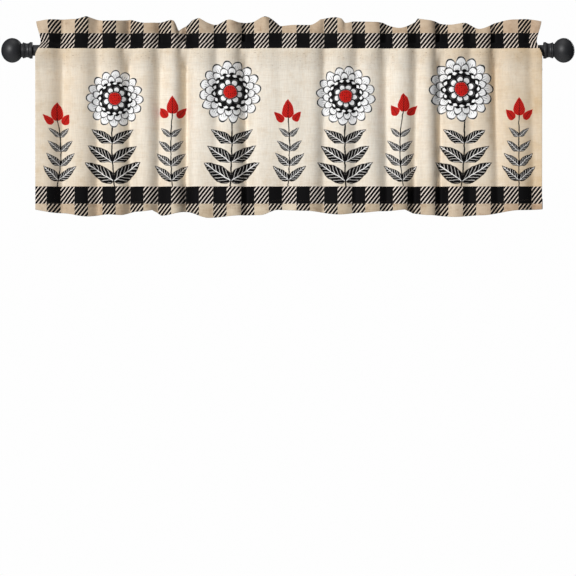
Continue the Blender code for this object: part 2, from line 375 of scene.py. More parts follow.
# %% [markdown]
# ### The skirt, the pocket and the header
#
# Three formulas cover the whole path. Below the pocket the front layer hangs in the folds. Above the rod both
# layers stand up together in the same folds, and where the header is low, it leans back instead of being
# shorter, because its cut height is the same all along. Between the two, the pocket goes round the rod. There
# a ridge stands off, and a hollow is pulled in until it meets the rod. Both of the pocket's layers end in the
# header's seam, so their angles round the rod run up to wherever the seam happens to stand.

# %% The three surfaces
def skirt(x, above_hem):
    """The hanging front layer, above_hem metres above the hem's fold."""
    hem = height_of(HEM_EDGE, x)
    z = hem + above_hem
    down = (POCKET_SEAM - z) / (POCKET_SEAM - hem)
    y = fold_depth(x, down) - FORWARD + ripple(x, z) + pucker(x, z - POCKET_SEAM)
    y = y + 0.5 * pucker(x + 5 * MM, above_hem - HEM_STITCH)
    return point(drawn_in(x, z), y, z)


def skirt_length(x):
    return POCKET_SEAM - height_of(HEM_EDGE, x)


def header(x, up):
    """The middle of the header's two layers. up is 0 at its seam and 1 at its top."""
    rise = height_of(HEADER_EDGE, x) - HEADER_SEAM
    free = np.sqrt(np.maximum(HEADER_FULL**2 - rise**2, 0.0))
    wave = (fold_depth(x, 0.0) - HEADER_FORWARD) * (HEADER_KEEPS + HEADER_GAINS * up)
    z = HEADER_SEAM + rise * up
    y = wave + HEADER_LEAN * free * up * up + ripple(1.7 * x, z) * up + pucker(x, z - HEADER_SEAM)
    return point(drawn_in(x, z), y, z)


def pocket(x, share, side):
    """A point round the rod: side is -1 in front and 1 behind, share 0 at the tangent and 1 at the seam."""
    seam = header(x, 0.0)
    seam_turn = np.arctan2(seam[..., 1], seam[..., 2])
    seam_radius = np.hypot(seam[..., 1], seam[..., 2])
    depth = fold_depth(x, 0.0)
    puff = KNEE * np.log1p(np.exp((FRONT_PUFF - depth) / KNEE))  # less in a hollow, until it meets the rod
    if side > 0:
        puff = BACK_PUFF * (1 - np.exp(-depth / FRONT_PUFF))

    def radius_at(turn):
        standing_off = np.sin(np.clip(side * turn, 0.0, math.pi / 2)) ** 1.5
        return ROD_RADIUS + CLEAR + SIDE_LIFT * bulk(x) + puff * standing_off

    turn = side * TANGENT + (seam_turn - side * TANGENT) * share
    to_seam = eased((share - SEAM_PULL) / (1 - SEAM_PULL))
    radius = radius_at(turn) + (seam_radius - radius_at(seam_turn)) * to_seam
    z = radius * np.cos(turn)
    return point(drawn_in(x, z), radius * np.sin(turn), z)


def pocket_wall(x, share, side):
    """Between the pocket's lower seam (share 0) and the round of the pocket (share 1)."""
    gap = room(x, *OUTER_GAP) if side > 0 else 0 * x
    low = set_back(lambda x: skirt(x, skirt_length(x)), x, gap)
    high = pocket(x, 0.0, side)
    backwards = share * (1.15 - 0.15 * share)  # more upright near the round, so that the wall clears the rod
    return low + (high - low) * np.array([share, backwards, share])


def header_layer(x, up, side):
    gap = room(x, 0.7, 3.4) * MM + 1.5 * MM * math.sin(math.pi * min(up, 1.0)) ** 2 + 0.5 * MM * up
    return set_back(lambda x: header(x, up), x, side * gap / 2)


# %% [markdown]
# ### The path, row by row
#
# `sewn_path` walks the maker's path and notes two things for each row: where it lies, and how high it is on
# the printed cloth. In front the two heights are the same. Past a fold the print carries on, so behind the
# header it rises above the top edge, and behind the hem it runs on below the bottom.

# %% Walk the path
def half_turn(inner, outer, radius, steps=3):
    """(place between inner and outer, distance past the turn) of the rows that round a fold."""
    for k in range(1, steps + 1):
        turn = math.pi * k / (steps + 1)
        yield inner + (outer - inner) * (1 - math.cos(turn)) / 2, radius * math.sin(turn)


def sewn_path(x):
    """[(name, points, height on the print)] from one raw edge, inside the hem, to the one in the pocket."""
    hem, top = height_of(HEM_EDGE, x), height_of(HEADER_EDGE, x)
    inner, outer = room(x, *INNER_GAP), room(x, *OUTER_GAP)
    rows = []

    def behind_skirt(name, above_hem, gap, print_height):
        rows.append((name, set_back(lambda x: skirt(x, above_hem), x, gap), print_height))

    for up in (HEM_DEEP - TURNED_IN, HEM_DEEP - TURNED_IN / 2, HEM_DEEP - 1 * MM):
        behind_skirt("hem inside", up, inner, hem - 2 * HEM_DEEP + up)
    for gap, past in half_turn(inner, outer, 0.4 * MM):
        behind_skirt("hem fold", HEM_DEEP - 0.6 * MM + past, gap, hem - HEM_DEEP)
    for up in (HEM_DEEP - 1 * MM, 20 * MM, 14 * MM, 8 * MM, 3 * MM, 1.2 * MM):
        behind_skirt("hem back", up, outer, hem - up)
    for gap, past in half_turn(outer, 0 * x, 0.7 * MM):
        behind_skirt("bottom fold", 0.7 * MM - past, gap, hem)

    for up in (1.2 * MM, 4 * MM, 9 * MM, 14 * MM, 19 * MM):
        rows.append(("skirt", skirt(x, up), hem + up))
    for k in range(SKIRT_ROWS + 1):
        share = k / SKIRT_ROWS
        up = HEM_STITCH + (skirt_length(x) - HEM_STITCH) * share
        name = {0: "hem stitches", SKIRT_ROWS: "pocket stitches"}.get(k, "skirt")
        rows.append((name, skirt(x, up), hem + up))

    def round_pocket(side):
        for share in POCKET_STRAIGHT:
            yield "pocket", pocket_wall(x, share, side)
        for share in POCKET_ROUND:
            yield "pocket", pocket(x, share, side)

    for name, points in round_pocket(-1):
        rows.append((name, points, points[:, 2]))
    for k in range(HEADER_ROWS + 1):
        points = header_layer(x, HEADER_END * k / HEADER_ROWS, -1)
        rows.append(("header" if k else "header stitches", points, points[:, 2]))
    gap = room(x, 1.2, 3.9) * MM
    for place, past in half_turn(-gap / 2, gap / 2, 0.6 * MM):
        points = set_back(lambda x: header(x, HEADER_END), x, place)
        points[:, 2] += past
        rows.append(("top fold", points, top))
    for k in range(HEADER_ROWS, -1, -1):
        points = header_layer(x, HEADER_END * k / HEADER_ROWS, 1)
        rows.append(("header back" if k else "header stitches back", points, 2 * top - points[:, 2]))
    for name, points in list(round_pocket(1))[::-1]:
        rows.append((name + " back", points, 2 * top - points[:, 2]))

    seam = skirt_length(x)
    behind_skirt("pocket stitches back", seam, outer, 2 * top - POCKET_SEAM)
    behind_skirt("pocket edge", seam - 2.5 * MM, outer, 2 * top - POCKET_SEAM + 2.5 * MM)
    for gap, past in half_turn(outer, inner, 0.4 * MM):
        behind_skirt("pocket edge", seam - 3.4 * MM - past, gap, 2 * top - POCKET_SEAM + 4 * MM)
    for up in (-3 * MM, 0.5 * MM, 4 * MM):
        behind_skirt("pocket inside", seam + up, inner, 2 * top - POCKET_SEAM + 8 * MM + up)
    return rows


names = [name for name, _, _ in sewn_path(sample[:3])]
print(len(names), "rows:", ", ".join(dict.fromkeys(names)))

# %% [markdown]
# ### Columns, with the side hems
#
# Each column is a place along the rod and a distance behind the cloth. In the middle the distance is nothing.
# At each side the columns go round a tight turn and back inwards, which folds the side hem behind.

# %% The columns
def side_columns(edge, inwards):
    """[(place along the rod, distance behind, place on the print)] of one side hem, from its raw edge."""
    flat = [(edge + inwards * d, SIDE_GAP, edge - inwards * d) for d in (SIDE_HEM, 9 * MM, 5 * MM, 1.5 * MM)]
    turn = [
        (edge - inwards * past, gap, edge - inwards * past)
        for gap, past in half_turn(SIDE_GAP, 0.0, SIDE_GAP / 2)
    ]
    return flat + turn


def closer_in_folds():
    """Places along the rod, evenly spaced along the gathered cloth."""
    fine = np.linspace(LEFT, RIGHT, 6000)
    for_depth = np.hypot(np.diff(fine), 1.3 * np.diff(fold_depth(fine, 0.2)))
    along = np.concatenate([[0], np.cumsum(for_depth)])
    return np.interp(np.linspace(0, along[-1], COLUMNS), along, fine)


middle_columns = [(x, 0.0, x) for x in closer_in_folds()]
columns = side_columns(LEFT, 1) + middle_columns + side_columns(RIGHT, -1)[::-1]
column_x, column_gap, column_print = (np.array(values) for values in zip(*columns, strict=True))
first_front = len(side_columns(LEFT, 1))  # the first column that isn't side hem
print(len(columns), "columns,", first_front, "of them round each side hem")

# %% The middle surface and its normals
def unit(vectors):
    return vectors / np.linalg.norm(vectors, axis=-1, keepdims=True)


rows = sewn_path(column_x)
places = np.stack([points for _, points, _ in rows])
print_heights = np.stack([np.broadcast_to(height, column_x.shape) for _, _, height in rows])
beside = np.stack([points for _, points, _ in sewn_path(column_x + TINY)])
along_rod = beside - places
along_path = np.gradient(places, axis=0)
to_front = unit(np.cross(along_rod, along_path))
middle = places - to_front * column_gap[None, :, None]
normals = unit(np.cross(np.gradient(middle, axis=1), np.gradient(middle, axis=0)))
print("surface of", middle.shape[0], "x", middle.shape[1], "points")

# %% [markdown]
# ### Giving the cloth its thickness
#
# A sheet with no thickness has no edge and no underside of its own. So the printed face is moved half the
# cloth's thickness one way and the plain back half the other way, and a strip of faces joins them all round.
# Doing it here, rather than with a Solidify modifier, gives each face its own place on the map that the
# finished colours are stored in, so the printed side keeps most of that map.

# %% Build the closed cloth mesh
FACE_SHARE = 0.60  # of the colour map's height for the printed face
BACK_START = 0.64  # where the plain back begins
RIM = 0.004


def grid_quads(row_count, column_count, start, flip):
    r, c = np.meshgrid(np.arange(row_count - 1), np.arange(column_count - 1), indexing="ij")
    a = start + r * column_count + c
    quads = np.stack([a, a + 1, a + column_count + 1, a + column_count], axis=-1).reshape(-1, 4)
    return quads[:, ::-1] if flip else quads


def rim_loop(row_count, column_count):
    """The grid's outer points in order, anticlockwise as seen from the printed side."""
    bottom = np.arange(column_count)
    right = np.arange(1, row_count) * column_count + column_count - 1
    top = (row_count - 1) * column_count + np.arange(column_count - 2, -1, -1)
    left = np.arange(row_count - 2, 0, -1) * column_count
    return np.concatenate([bottom, right, top, left])


def cloth_mesh(middle, normals):
    row_count, column_count = middle.shape[:2]
    count = row_count * column_count
    face = (middle + normals * THICK / 2).reshape(-1, 3)
    back = (middle - normals * THICK / 2).reshape(-1, 3)
    loop = rim_loop(row_count, column_count)
    after = np.roll(loop, -1)
    rims = np.stack([after, loop, loop + count, after + count], axis=-1)
    quads = [
        grid_quads(row_count, column_count, 0, False),
        grid_quads(row_count, column_count, count, True),
        rims,
    ]
    mesh = bpy.data.meshes.new("valance")
    mesh.from_pydata(np.concatenate([face, back]), [], np.concatenate(quads))
    return mesh, [len(q) for q in quads]


mesh, (face_count, back_count, rim_count) = cloth_mesh(middle, normals)
print(f"valance mesh: {len(mesh.vertices)} points, {2 * len(mesh.polygons)} triangles")

# %% [markdown]
# ### Places on the map and on the print
#
# The mesh carries two maps. One spreads the cloth out once over a square, with no part over another, for
# storing colours. The other says, in metres, which place of the printed design each point shows.

# %% Lay out both maps
def spread(values):
    return (values - values.min()) / (values.max() - values.min())


path_length = np.concatenate([[0], np.cumsum(np.linalg.norm(np.diff(middle, axis=0), axis=-1).mean(axis=1))])
path_length += np.arange(len(path_length)) * 0.3 * MM  # tight turns get a little more than their own length
across = spread(column_print)
map_u = np.broadcast_to(RIM + across * (1 - 2 * RIM), middle.shape[:2]).ravel()
map_v = np.broadcast_to(spread(path_length)[:, None], middle.shape[:2]).ravel()
face_uv = np.stack([map_u, RIM + map_v * (FACE_SHARE - 2 * RIM)], axis=-1)
back_uv = np.stack([map_u, BACK_START + RIM + map_v * (1 - BACK_START - 2 * RIM)], axis=-1)
print_uv = np.stack([np.broadcast_to(column_print, middle.shape[:2]).ravel(), print_heights.ravel()], axis=-1)

corner_point = np.empty(len(mesh.loops), dtype=np.int32)
mesh.loops.foreach_get("vertex_index", corner_point)
bake_map = mesh.uv_layers.new(name="OFBake")
bake_uv = np.concatenate([face_uv, back_uv])[corner_point]
rim_corners = slice(4 * (face_count + back_count), None)
rim_points = corner_point[rim_corners] % len(face_uv)
outwards = np.sign(np.round(face_uv - face_uv.mean(axis=0), 6))
on_side = (face_uv[:, 0] <= RIM + 1e-6) | (face_uv[:, 0] >= 1 - RIM - 1e-6)
outwards[on_side, 1] = 0
outwards[~on_side, 0] = 0
is_back = corner_point[rim_corners] >= len(face_uv)
bake_uv[rim_corners] = face_uv[rim_points] + outwards[rim_points] * (RIM * 0.9 * is_back)[:, None]
bake_map.data.foreach_set("uv", bake_uv.astype(np.float32).ravel())
print_map = mesh.uv_layers.new(name="print_place")
print_map.data.foreach_set("uv", print_uv[corner_point % len(print_uv)].astype(np.float32).ravel())
print(f"printed height {print_heights.min():.3f} to {print_heights.max():.3f} m")

# %% Make the valance
valance = bpy.data.objects.new("valance", mesh)
bpy.context.scene.collection.objects.link(valance)
mesh.shade_smooth()
material_of_face = np.concatenate([np.zeros(face_count), np.ones(back_count + rim_count)]).astype(np.int32)
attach(valance, "root")
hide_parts("valance_cloth")
print("the valance is", [round(v, 4) for v in valance.dimensions], "m")

# %% [markdown]
# ## The stitches
#
# Eight lines of machine stitching can be seen: the header's seam, the pocket's seam and the hem, each in
# front and behind, and one line down each side hem. Every stitch is a short piece of thread that rises from
# the cloth and dives back in. They are real shapes, because a seam's shadow is what tells the eye that cloth
# is sewn. All of them are joined in one mesh.

# %% One stitch, many times
STITCH = 3.0 * MM
STITCH_GAP = 0.12  # share of a stitch left free at each of its ends
THREAD_RADIUS = 0.13 * MM
THREAD_SIDES = 5
StitchRing = namedtuple("StitchRing", "share lift size")  # share of the stitch, the others in thread radii
STITCH_RINGS = (
    StitchRing(0.04, -0.10, 0.5),
    StitchRing(0.22, 0.55, 1.0),
    StitchRing(0.50, 0.75, 1.0),
    StitchRing(0.78, 0.55, 1.0),
    StitchRing(0.96, -0.10, 0.5),
)


def line_of(row=None, column=None):
    """(points, normals) along one row or one column of the cloth's printed face."""
    pick = (row, slice(first_front, len(columns) - first_front)) if column is None else (slice(None), column)
    return middle[pick] + normals[pick] * THICK / 2, normals[pick]


def stitches_along(points, normals):
    """[(start, end, normal)] of the stitches along a line on the cloth."""
    length = np.concatenate([[0], np.cumsum(np.linalg.norm(np.diff(points, axis=0), axis=1))])
    knots = np.arange(STITCH, length[-1] - STITCH, STITCH)

    def at(distance, values):
        return np.stack([np.interp(distance, length, values[:, k]) for k in range(3)], axis=-1)

    starts = at(knots + STITCH_GAP * STITCH, points)
    ends = at(knots + (1 - STITCH_GAP) * STITCH, points)
    return starts, ends, unit(at(knots + STITCH / 2, normals))


def thread_mesh(starts, ends, ups):
    along = ends - starts
    side = unit(np.cross(along, ups))
    rings = []
    for share, lift, size in STITCH_RINGS:
        centre = starts + along * share + ups * THREAD_RADIUS * lift
        for k in range(THREAD_SIDES):
            turn = math.tau * k / THREAD_SIDES
            rings.append(centre + THREAD_RADIUS * size * (side * math.cos(turn) + ups * math.sin(turn)))
    points = np.stack(rings, axis=1).reshape(-1, 3)
    per_stitch = len(rings)
    faces = []
    for ring in range(len(STITCH_RINGS) - 1):
        for k in range(THREAD_SIDES):
            a, b = ring * THREAD_SIDES + k, ring * THREAD_SIDES + (k + 1) % THREAD_SIDES
            faces.append((a, b, b + THREAD_SIDES))
            faces.append((a, b + THREAD_SIDES, a + THREAD_SIDES))
    last = (len(STITCH_RINGS) - 1) * THREAD_SIDES
    for k in range(1, THREAD_SIDES - 1):
        faces.append((0, k + 1, k))
        faces.append((last, last + k, last + k + 1))
    all_faces = np.array(faces)[None] + np.arange(len(starts))[:, None, None] * per_stitch
    made = bpy.data.meshes.new("stitching")
    made.from_pydata(points, [], all_faces.reshape(-1, 3))
    made.shade_smooth()
    return made


path_names = [name for name, _, _ in rows]
stitched_rows = [k for k, name in enumerate(path_names) if "stitches" in name]
hem_back_row = path_names.index("hem back") + 1
seams = [line_of(row=k) for k in [*stitched_rows, hem_back_row]]
skirt_rows = slice(path_names.index("hem stitches"), path_names.index("pocket stitches"))
for column in (first_front + 3, len(columns) - first_front - 4):
    points, ups = line_of(column=column)
    seams.append((points[skirt_rows], ups[skirt_rows]))
found = [stitches_along(*seam) for seam in seams]
starts, ends, ups = (np.concatenate(parts) for parts in zip(*found, strict=True))
stitching = bpy.data.objects.new("stitching", thread_mesh(starts, ends, ups))
bpy.context.scene.collection.objects.link(stitching)
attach(stitching, "root")
print(f"{len(starts)} stitches in {len(seams)} lines, {len(stitching.data.polygons)} triangles")

# %% [markdown]
# ## The rod and its finials
#
# The rod is a plain steel tube. The finials are turned shapes, so one outline spun round the rod's axis makes
# each of them. The outline goes over the collar's flange, down into its waist, over a small bead, and after
# a narrow groove round the ball. Round stretches of the outline are arcs with many points, because a ball's
# edge against a pale wall shows every flat.

# %% A lathe for turned pieces
def turned(name, outline, sides):
    """A closed outline of (distance along X, radius) points, spun about the X axis."""
    points, faces, index = [], [], {}
    for k in range(sides):
        turn = math.tau * k / sides
        for j, (x, radius) in enumerate(outline):
            if radius == 0 and k:
                index[k, j] = index[0, j]
                continue
            index[k, j] = len(points)
            points.append((x, radius * math.sin(turn), radius * math.cos(turn)))
    for k in range(sides):
        for j in range(len(outline)):
            m, n = (k + 1) % sides, (j + 1) % len(outline)
            corners = dict.fromkeys((index[k, j], index[k, n], index[m, n], index[m, j]))
            if len(corners) > 2:
                faces.append(tuple(corners))
    made = bpy.data.meshes.new(name)
    made.from_pydata(points, [], faces)
    turn_outwards(made)
    made.shade_smooth()
    made.set_sharp_from_angle(angle=math.radians(32))
    obj = bpy.data.objects.new(name, made)
    bpy.context.scene.collection.objects.link(obj)
    return obj


def turn_outwards(made):
    bm = bmesh.new()
    bm.from_mesh(made)
    bmesh.ops.recalc_face_normals(bm, faces=bm.faces)
    bm.to_mesh(made)
    bm.free()


def arc(centre, radii, start, end, steps):
    """Points of an arc in an outline, by angles in degrees from the X direction."""
    for k in range(steps + 1):
        turn = math.radians(start + (end - start) * k / steps)
        yield centre[0] + radii[0] * math.cos(turn), centre[1] + radii[1] * math.sin(turn)


# %% The rod
ROD_WALL = 1 * MM
ROD_ROUND = 0.25 * MM  # its cut ends are deburred


def rod_outline():
    low, high, bore = rod_low.x, rod_high.x, ROD_RADIUS - ROD_WALL
    outer = ROD_RADIUS - ROD_ROUND
    inner = bore + ROD_ROUND
    return [
        (low + ROD_ROUND, bore),
        (low, inner),
        (low, outer),
        (low + ROD_ROUND, ROD_RADIUS),
        (high - ROD_ROUND, ROD_RADIUS),
        (high, outer),
        (high, inner),
        (high - ROD_ROUND, bore),
    ]


curtain_rod = turned("curtain_rod", rod_outline(), 72)
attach(curtain_rod, "root")
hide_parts("rod")
print("rod of", round((rod_high.x - rod_low.x) * 1000, 1), "mm,", len(curtain_rod.data.polygons), "faces")

# %% [markdown]
# The finial's outline is given from the collar's start. Its sizes come from the construction model: the
# widest radius is the ball's, and the total length is what the model's box says.

# %% The finials
finial_low, finial_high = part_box("finial_right")
FINIAL_START = finial_low.x
BALL_RADIUS = (finial_high.z - finial_low.z) / 2
SOCKET_DEEP = 14 * MM
SOCKET_RADIUS = ROD_RADIUS + 0.4 * MM
SOCKET_ROUND = 0.6 * MM
COLLAR = 26.5 * MM
NECK = 16.5 * MM
FLANGE = 19.4 * MM
WAIST = 16.3 * MM
BEAD = 18.8 * MM


def finial_outline(start, total):
    junction = start + COLLAR
    socket_end = start + SOCKET_DEEP
    outline = [(socket_end, 0.0), (socket_end, SOCKET_RADIUS), (start + SOCKET_ROUND, SOCKET_RADIUS)]
    outline += [(start, SOCKET_RADIUS + SOCKET_ROUND), (start, FLANGE - 1.9 * MM)]
    outline += list(arc((start + 1.6 * MM, FLANGE - 1.6 * MM), (1.6 * MM, 1.6 * MM), 180, 90, 6))[1:]
    outline += list(arc((start + 5.6 * MM, FLANGE - 1.8 * MM), (1.8 * MM, 1.8 * MM), 90, 0, 6))
    outline += [(start + 7.6 * MM, FLANGE - 2.6 * MM)]
    cove = 5.4 * MM
    outline += list(arc((start + 13.2 * MM, WAIST + 3.0 * MM), (cove, 3.0 * MM), 205, 335, 14))
    outline += [(start + 18.6 * MM, BEAD - 1.5 * MM)]
    outline += list(arc((start + 21.3 * MM, BEAD - 2.2 * MM), (2.3 * MM, 2.2 * MM), 165, 15, 10))
    outline += [(start + 24.3 * MM, NECK - 0.8 * MM), (junction - 0.6 * MM, NECK - 0.8 * MM)]
    half_length = (total - COLLAR) / (1 + math.sqrt(1 - (NECK / BALL_RADIUS) ** 2))
    centre = start + total - half_length
    first = 180 - math.degrees(math.asin(NECK / BALL_RADIUS))
    ball = list(arc((centre, 0.0), (half_length, BALL_RADIUS), first, 0, 36))
    return outline + ball[:-1] + [(start + total, 0.0)]


for name, side in (("finial_left", -1), ("finial_right", 1)):
    outline = finial_outline(FINIAL_START, finial_high.x - FINIAL_START)
    ball = turned(name + "_turned", [(side * x, radius) for x, radius in outline], 96)
    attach(ball, "root")
    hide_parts(name)
    print(ball.name, "with", len(outline), "outline points,", len(ball.data.polygons), "faces")

# %% [markdown]
# ## A bench for wiring materials
#
# All finishes are made of shader nodes. Wiring them one by one is long, so this small class keeps a node tree
# at hand and gives the common sums short names. A value may be a number or another node's output.

# %% The wiring bench
class Bench:
    def __init__(self, tree):
        self.tree = tree

    def add(self, kind, feeds=(), **settings):
        node = self.tree.nodes.new(kind)
        for name, value in settings.items():
            setattr(node, name, value)
        for name, value in dict(feeds).items():
            self.feed(node.inputs[name], value)
        return node

    def feed(self, socket, value):
        if isinstance(value, bpy.types.NodeSocket):
            self.tree.links.new(value, socket)
        else:
            socket.default_value = value

    def sum(self, operation, *values):
        node = self.add("ShaderNodeMath", operation=operation)
        for socket, value in zip(node.inputs, values, strict=False):
            self.feed(socket, value)
        return node.outputs[0]

    def plus(self, a, b):
        return self.sum("ADD", a, b)

    def minus(self, a, b):
        return self.sum("SUBTRACT", a, b)

    def times(self, a, b):
        return self.sum("MULTIPLY", a, b)

    def over(self, a, b):
        return self.sum("DIVIDE", a, b)

    def either(self, a, b):
        return self.sum("MAXIMUM", a, b)

    def both(self, a, b):
        return self.sum("MINIMUM", a, b)

    def flip(self, a):
        return self.sum("SUBTRACT", 1.0, a)

    def ramp(self, value, low, high, start=0.0, end=1.0):
        """start below low, end above high, and even in between."""
        feeds = {"Value": value, "From Min": low, "From Max": high, "To Min": start, "To Max": end}
        return self.add("ShaderNodeMapRange", feeds, clamp=True).outputs["Result"]

    def below(self, value, edge, soft):
        """1 where value is under edge, with a soft change this wide."""
        reach = self.times(soft, 0.5) if isinstance(soft, bpy.types.NodeSocket) else soft / 2
        return self.ramp(value, self.plus(edge, reach), self.minus(edge, reach))

    def parts(self, vector):
        node = self.add("ShaderNodeSeparateXYZ", {"Vector": vector})
        return node.outputs["X"], node.outputs["Y"], node.outputs["Z"]

    def vector(self, x, y, z=0.0):
        return self.add("ShaderNodeCombineXYZ", {"X": x, "Y": y, "Z": z}).outputs["Vector"]

    def noise(self, place, scale, detail=3.0, roughness=0.5, stretch=(1, 1, 1)):
        moved = self.add("ShaderNodeVectorMath", {0: place, 1: stretch}, operation="MULTIPLY")
        feeds = {"Vector": moved.outputs[0], "Scale": scale, "Detail": detail, "Roughness": roughness}
        return self.add("ShaderNodeTexNoise", feeds).outputs["Fac"]

    def mix(self, share, a, b):
        node = self.add("ShaderNodeMix", data_type="RGBA")
        self.feed(node.inputs["Factor"], share)
        self.feed(node.inputs[6], a)
        self.feed(node.inputs[7], b)
        return node.outputs[2]


def new_group(name, inputs, outputs):
    """(bench, input sockets by name, function that feeds an output) for a new shader node group."""
    tree = bpy.data.node_groups.new(name, "ShaderNodeTree")
    for title, kind in inputs.items():
        tree.interface.new_socket(name=title, in_out="INPUT", socket_type="NodeSocket" + kind)
    for title, kind in outputs.items():
        tree.interface.new_socket(name=title, in_out="OUTPUT", socket_type="NodeSocket" + kind)
    bench = Bench(tree)
    entry = bench.add("NodeGroupInput")
    leave = bench.add("NodeGroupOutput")
    return bench, entry.outputs, lambda title, value: bench.feed(leave.inputs[title], value)


def use_group(bench, name, **feeds):
    """Places a group in a material, with its own values, and returns its outputs."""
    node = bench.add("ShaderNodeGroup", node_tree=bpy.data.node_groups[name])
    for title, value in feeds.items():
        bench.feed(node.inputs[title.replace("_", " ")], value)
    return node.outputs


def srgb(red, green, blue):
    """A colour in the numbers 0 to 255 that paint and print are chosen by, as the shader wants it."""
    shares = [v / 255 for v in (red, green, blue)]
    return (*[((v + 0.055) / 1.055) ** 2.4 if v > 0.04045 else v / 12.92 for v in shares], 1.0)


# %% [markdown]
# ## Weave
#
# The cloth is a light polyester woven to look like linen. Close up it is a plain weave, about 22 threads to
# the centimetre, and from further off one sees slubs: places where a thread runs thicker, which read as short
# streaks along and across. Both the printed face and the back need it, so it is a group with its own values
# in each.

# %% The weave group
THREADS_PER_METRE = 2200.0
bench, given, give = new_group(
    "linen_weave",
    {"Place": "Vector", "Slub Strength": "Float"},
    {"Height": "Float", "Slub": "Float"},
)
x, z, _ = bench.parts(given["Place"])
warp = bench.sum("SINE", bench.times(x, math.tau * THREADS_PER_METRE / 2))
weft = bench.sum("SINE", bench.times(z, math.tau * THREADS_PER_METRE / 2))
crossing = bench.plus(bench.times(bench.times(warp, weft), 0.5), 0.5)
slub_up = bench.noise(given["Place"], 1.0, 2.0, 0.55, (420.0, 34.0, 1.0))
slub_across = bench.noise(given["Place"], 1.0, 2.0, 0.55, (30.0, 460.0, 1.0))
slub = bench.minus(bench.plus(slub_up, slub_across), 1.0)
strong = bench.times(slub, given["Slub Strength"])
give("Height", bench.plus(bench.times(crossing, 0.4), strong))
give("Slub", strong)
print("weave group with", len(bench.tree.nodes), "nodes")

# %% [markdown]
# ## The checked border
#
# A buffalo check is woven with dark and light bands both ways. Where two dark bands cross the square is
# black, where a dark band crosses a light one it is striped by the twill, and where two light bands cross it
# stays plain. So the whole border comes from two yes-or-no values and one set of slanting stripes.

# %% The check group
CHECK = 64.8 * MM  # one dark and one light band along the rod, as gathered
DARK_SHARE = 0.484
CHECK_START = -563.5 * MM  # the left edge of one dark band
TOP_ROW, TOP_FROM = 37.2 * MM, 3.3 * MM  # height of a row, and where the upper border begins
LOW_ROW, LOW_FROM = 40.5 * MM, -318.7 * MM
STRIPES_PER_CHECK = 7
STRIPE_SLOPE = math.tan(math.radians(52))
STRIPE_INK = 0.68
BLEED = 0.25 * MM  # how far ink softens an edge

bench, given, give = new_group(
    "checked_border",
    {"Place": "Vector"},
    {"Ink": "Float", "Plain": "Float", "Pale": "Float", "Border": "Float"},
)
x, z, _ = bench.parts(given["Place"])
in_check = bench.sum("FRACT", bench.over(bench.minus(x, CHECK_START), CHECK))
from_middle = bench.sum("ABSOLUTE", bench.minus(in_check, DARK_SHARE / 2))
from_middle = bench.both(from_middle, bench.flip(from_middle))
dark_column = bench.below(from_middle, DARK_SHARE / 2, BLEED / CHECK)
upper = bench.over(bench.minus(z, TOP_FROM), TOP_ROW)
lower = bench.over(bench.minus(LOW_FROM, z), LOW_ROW)
row = bench.either(upper, lower)
border = bench.below(bench.times(row, -1.0), 0.0, BLEED / TOP_ROW)
in_pair = bench.sum("FRACT", bench.times(row, 0.5))
from_row_middle = bench.sum("ABSOLUTE", bench.minus(in_pair, 0.25))
from_row_middle = bench.both(from_row_middle, bench.flip(from_row_middle))
dark_row = bench.below(from_row_middle, 0.25, BLEED / (2 * TOP_ROW))
slant = bench.minus(x, bench.over(z, STRIPE_SLOPE))
in_stripe = bench.sum("FRACT", bench.over(bench.minus(slant, CHECK_START), CHECK / STRIPES_PER_CHECK))
from_stripe = bench.sum("ABSOLUTE", bench.minus(in_stripe, 0.5))
stripe = bench.below(from_stripe, STRIPE_INK / 2, 2 * BLEED * STRIPES_PER_CHECK / CHECK)
solid = bench.both(dark_column, dark_row)
one_only = bench.minus(bench.either(dark_column, dark_row), solid)
ink = bench.either(solid, bench.times(one_only, stripe))
give("Ink", bench.times(ink, border))
# The cloth looks bleached between the stripes, most of all in the inner rows.
pale = bench.times(one_only, bench.plus(0.3, bench.times(dark_row, 0.7)))
give("Pale", bench.times(pale, border))
# In the outer rows it stays partly tan between the stripes, and wholly so in the squares without any.
light_column = bench.flip(bench.times(dark_column, 0.6))
give("Plain", bench.times(bench.times(bench.flip(dark_row), light_column), border))
give("Border", border)
print("check group with", len(bench.tree.nodes), "nodes")

# %% [markdown]
# ## The printed flowers
#
# Between the borders runs a row of bold flowers in black, white and red, like a lino print. They are drawn
# with formulas. In a bloom the angle decides which petal a point belongs to and the distance from the
# middle decides which ring, so scallops, outlines and veins are all simple comparisons.
#
# A full bloom is several rings of petals, one laid over another like roof tiles, with each ring's petals
# over the gaps of the ring outside it. So one ring is a group of its own, and a bloom uses it four times.

# %% The petal ring group
SOFT = 0.014  # how far ink softens an edge, as a share of the bloom's radius

bench, given, give = new_group(
    "petal_ring",
    dict.fromkeys(("Out", "Angle", "Petals", "Shift", "Tip", "Scallop", "Line", "Veins"), "Float"),
    {"Mask": "Float", "Ink": "Float"},
)
around = bench.plus(bench.times(bench.times(given["Angle"], given["Petals"]), 0.5), given["Shift"])
petal = bench.sum("ABSOLUTE", bench.sum("COSINE", around))  # 1 along each petal's middle, 0 between two
tip = bench.minus(given["Tip"], bench.times(given["Scallop"], bench.flip(bench.sum("POWER", petal, 0.55))))
mask = bench.below(given["Out"], tip, SOFT)
outline = bench.minus(mask, bench.below(given["Out"], bench.minus(tip, given["Line"]), SOFT))
gap = bench.below(bench.times(petal, given["Out"]), bench.times(given["Line"], 2.6), 0.04)
sway = bench.sum("ABSOLUTE", bench.sum("SINE", bench.times(around, 5.0)))
vein_end = bench.minus(given["Tip"], bench.times(given["Scallop"], 0.85))
vein = bench.both(bench.below(sway, 0.24, 0.10), bench.below(given["Out"], vein_end, 0.03))
vein = bench.times(vein, given["Veins"])
give("Mask", mask)
give("Ink", bench.times(bench.either(outline, bench.either(gap, vein)), mask))
print("petal ring group with", len(bench.tree.nodes), "nodes")

